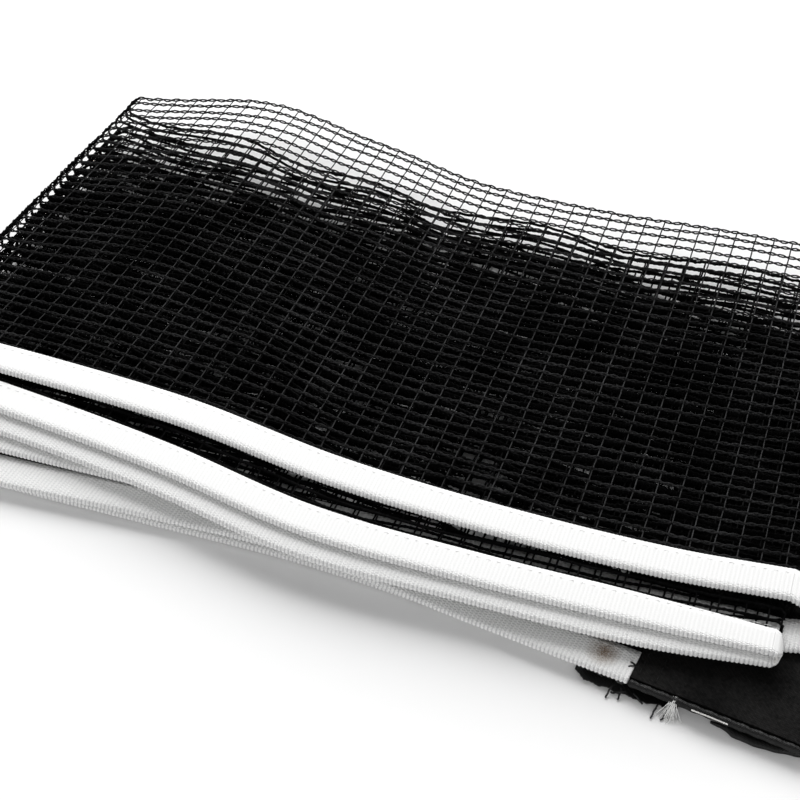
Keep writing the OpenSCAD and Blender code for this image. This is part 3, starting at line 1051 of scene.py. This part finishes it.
def slack_roll():
    """Slack cloth that rolls out from under the upper sleeve."""
    xs = np.linspace(122.6, 149.4, 70)
    front = np.interp(xs, [119.0, 125.6, 129.1, 133.0, 138.0, 143.0, 149.0],
                      [-93.4, -94.6, -96.4, -97.0, -97.1, -96.5, -95.4]) + 0.12 * np.sin(xs * 1.1)
    back = np.interp(xs, [120, 136, 140], [-93.2, -93.7, -92.6])
    middle, reach = (front + back) / 2, (back - front) / 2
    full = np.clip(reach, 0.2, 1)
    rings = np.stack([np.stack([xs, middle + reach * math.cos(t),
                                full * (1.25 + 1.15 * math.sin(t))], axis=-1)
                      for t in np.linspace(0, 2 * math.pi, 16, endpoint=False)], axis=1)
    return slack_cloth("sleeve_slack_roll", rings, smooth=True)


hems = [hem_piece(level) for level in (0, 1)]
scraps = [raw_edge(), slack_roll()]
sleeve_seams = [seam_stitches(level) for level in (0, 1)]
# Where each loose black thread starts, in millimetres, and which way it heads, in radians
black_starts = [((94.8, -92.4, 1.6), -2.0), ((96.6, -92.9, 1.5), -1.2),
                ((98.4, -93.5, 1.4), -2.2), ((100.2, -93.6, 1.6), -0.4),
                ((87.5, -90.7, 1.4), 0.2), ((89.4, -91.0, 1.4), -0.1),
                ((108.0, -93.8, 1.5), -1.9), ((110.4, -94.1, 1.5), -1.3)]
black_ends = loose_ends("black_loose_threads", black_starts, black_cross_thread, 0.00028, 5.2,
                        0.8, 7)
over_end = stations_of(PARTS[-1], PARTS[-1]["length"] + np.linspace(-1.6, 0.9, 6))
end_dip = band_thick / 2 + np.array([-0.3, 0.12, 0.16, 0.16, 0.05, -0.4])
end_stitches = stitches("ribbon_end_stitches", PARTS[-1],
                        [cloth_points(over_end, depth + np.linspace(0, slant, 6), end_dip)
                         for depth, slant in ((6.6, -1.0), (4.9, 1.0))],
                        black_cross_thread, 0.00019)
white_path = sleeve_points(1, np.linspace(19, 29.5, 12), np.full(12, -2.35),
                           0.55 + 0.08 * np.sin(np.linspace(0, 3, 12)))
white_thread = stitches("white_hem_thread", None, [white_path], white_cord_yarn, 0.00016)
tuft_random = np.random.default_rng(3)
tuft_starts = [((112.0 + tuft_random.normal(0, 0.30), -92.0 - tuft_random.uniform(0, 1.8), 4.9),
                -1.75 + tuft_random.normal(0, 0.28)) for _ in range(56)]
tuft = loose_ends("white_tuft", tuft_starts, white_sewing_thread, 0.00009, 5.6, 0.7, 9)
small_pieces = [*hems, *scraps, *sleeve_seams, black_ends, end_stitches, white_thread, tuft]
print("small pieces", [(piece.name, triangles(piece)) for piece in small_pieces])
